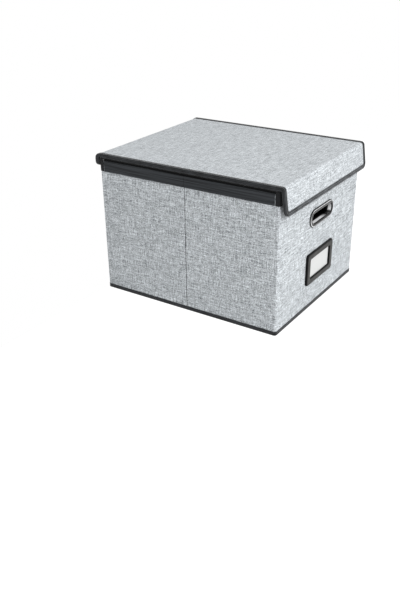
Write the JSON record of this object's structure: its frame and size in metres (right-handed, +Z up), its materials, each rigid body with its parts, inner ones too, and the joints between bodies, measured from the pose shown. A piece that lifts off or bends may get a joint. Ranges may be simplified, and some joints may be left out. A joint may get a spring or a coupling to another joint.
{
  "type": "collapsible file box",
  "caption": "Linen-covered cardboard file box with a hinged lid and front flap, creased folding long walls, oblong handle grommets, hanging rails and a label holder with a sliding card.",
  "frame": {"origin": "middle of the body's underside, on the surface that the box stands on", "axes": "+X along the box towards the end with the label and the flap, -Y the front long wall in the picture, +Z up; the lid hinges along the -X end"},
  "size_m": [0.4026, 0.3286, 0.2743],
  "materials": {
    "linen": "heathered plain-weave linen",
    "binding": "dark grosgrain binding tape",
    "lining": "non-woven lining",
    "cardboard": "plain greyboard",
    "rail": "satin moulded",
    "grommet": "polished gunmetal",
    "label_holder": "gloss black",
    "card": "blank card"
  },
  "bodies": {
    "base": {"base_binding": "binding", "base_skin": "linen", "insert_cover": "lining", "insert_board": "cardboard", "left_cover": "linen", "left_board": "cardboard", "left_lining": "lining", "left_rim_trim": "binding", "left_handle_outer": "grommet", "left_handle_inner": "grommet", "hinge_strip": "linen", "hinge_strip_binding": "binding"},
    "front_left": {"front_left_cover": "linen", "front_left_board": "cardboard", "front_left_lining": "lining", "front_left_rail": "rail"},
    "front_right": {"front_right_cover": "linen", "front_right_board": "cardboard", "front_right_lining": "lining", "front_right_rail": "rail"},
    "right_end": {"right_cover": "linen", "right_board": "cardboard", "right_lining": "lining", "right_rim_trim": "binding", "right_handle_outer": "grommet", "right_handle_inner": "grommet", "label_frame": "label_holder"},
    "card": {"label_card": "card"},
    "back_left": {"back_left_cover": "linen", "back_left_board": "cardboard", "back_left_lining": "lining", "back_left_rail": "rail"},
    "back_right": {"back_right_cover": "linen", "back_right_board": "cardboard", "back_right_lining": "lining", "back_right_rail": "rail"},
    "lid": {"lid_cover": "linen", "lid_board": "cardboard", "lid_lining": "lining", "lid_binding_front": "binding", "lid_binding_back": "binding", "lid_hinge_fold": "linen"},
    "flap": {"flap_cover": "linen", "flap_board": "cardboard", "flap_lining": "lining", "flap_binding": "binding", "flap_fold": "linen"}
  },
  "joints": [
    {"name": "wall_fold", "type": "hinge", "parent": "base", "child": "front_left", "pos_m": [-0.1796, -0.155, 0], "axis": [0, 0, 1], "range_deg": [0, 87]},
    {"name": "front_crease", "type": "hinge", "parent": "front_left", "child": "front_right", "pos_m": [0, -0.1626, 0], "axis": [0, 0, 1], "range_deg": [-162, 0]},
    {"name": "front_right_corner", "type": "hinge", "parent": "front_right", "child": "right_end", "pos_m": [0.1796, -0.155, 0], "axis": [0, 0, 1], "range_deg": [0, 75]},
    {"name": "back_left_corner", "type": "hinge", "parent": "base", "child": "back_left", "pos_m": [-0.1796, 0.155, 0], "axis": [0, 0, 1], "range_deg": [-75, 0]},
    {"name": "back_crease", "type": "hinge", "parent": "back_left", "child": "back_right", "pos_m": [0, 0.1626, 0], "axis": [0, 0, 1], "range_deg": [0, 162]},
    {"name": "lid_hinge", "type": "hinge", "parent": "base", "child": "lid", "pos_m": [-0.19895, 0, 0.2743], "axis": [0, -1, 0], "range_deg": [0, 270], "deforming": ["lid_hinge_fold"]},
    {"name": "flap_crease", "type": "hinge", "parent": "lid", "child": "flap", "pos_m": [0.19055, 0, 0.2674], "axis": [0, -1, 0], "range_deg": [-7, 80], "deforming": ["flap_fold"]},
    {"name": "card_slide", "type": "slide", "parent": "right_end", "child": "card", "axis": [0, 1, 0], "range_m": [0, 0.1]}
  ],
  "couplings": [
    {"joint": "front_crease", "follows": "wall_fold", "ratio": -1.86},
    {"joint": "front_right_corner", "follows": "wall_fold", "ratio": 0.86},
    {"joint": "back_left_corner", "follows": "wall_fold", "ratio": -0.86},
    {"joint": "back_crease", "follows": "wall_fold", "ratio": 1.86}
  ]
}
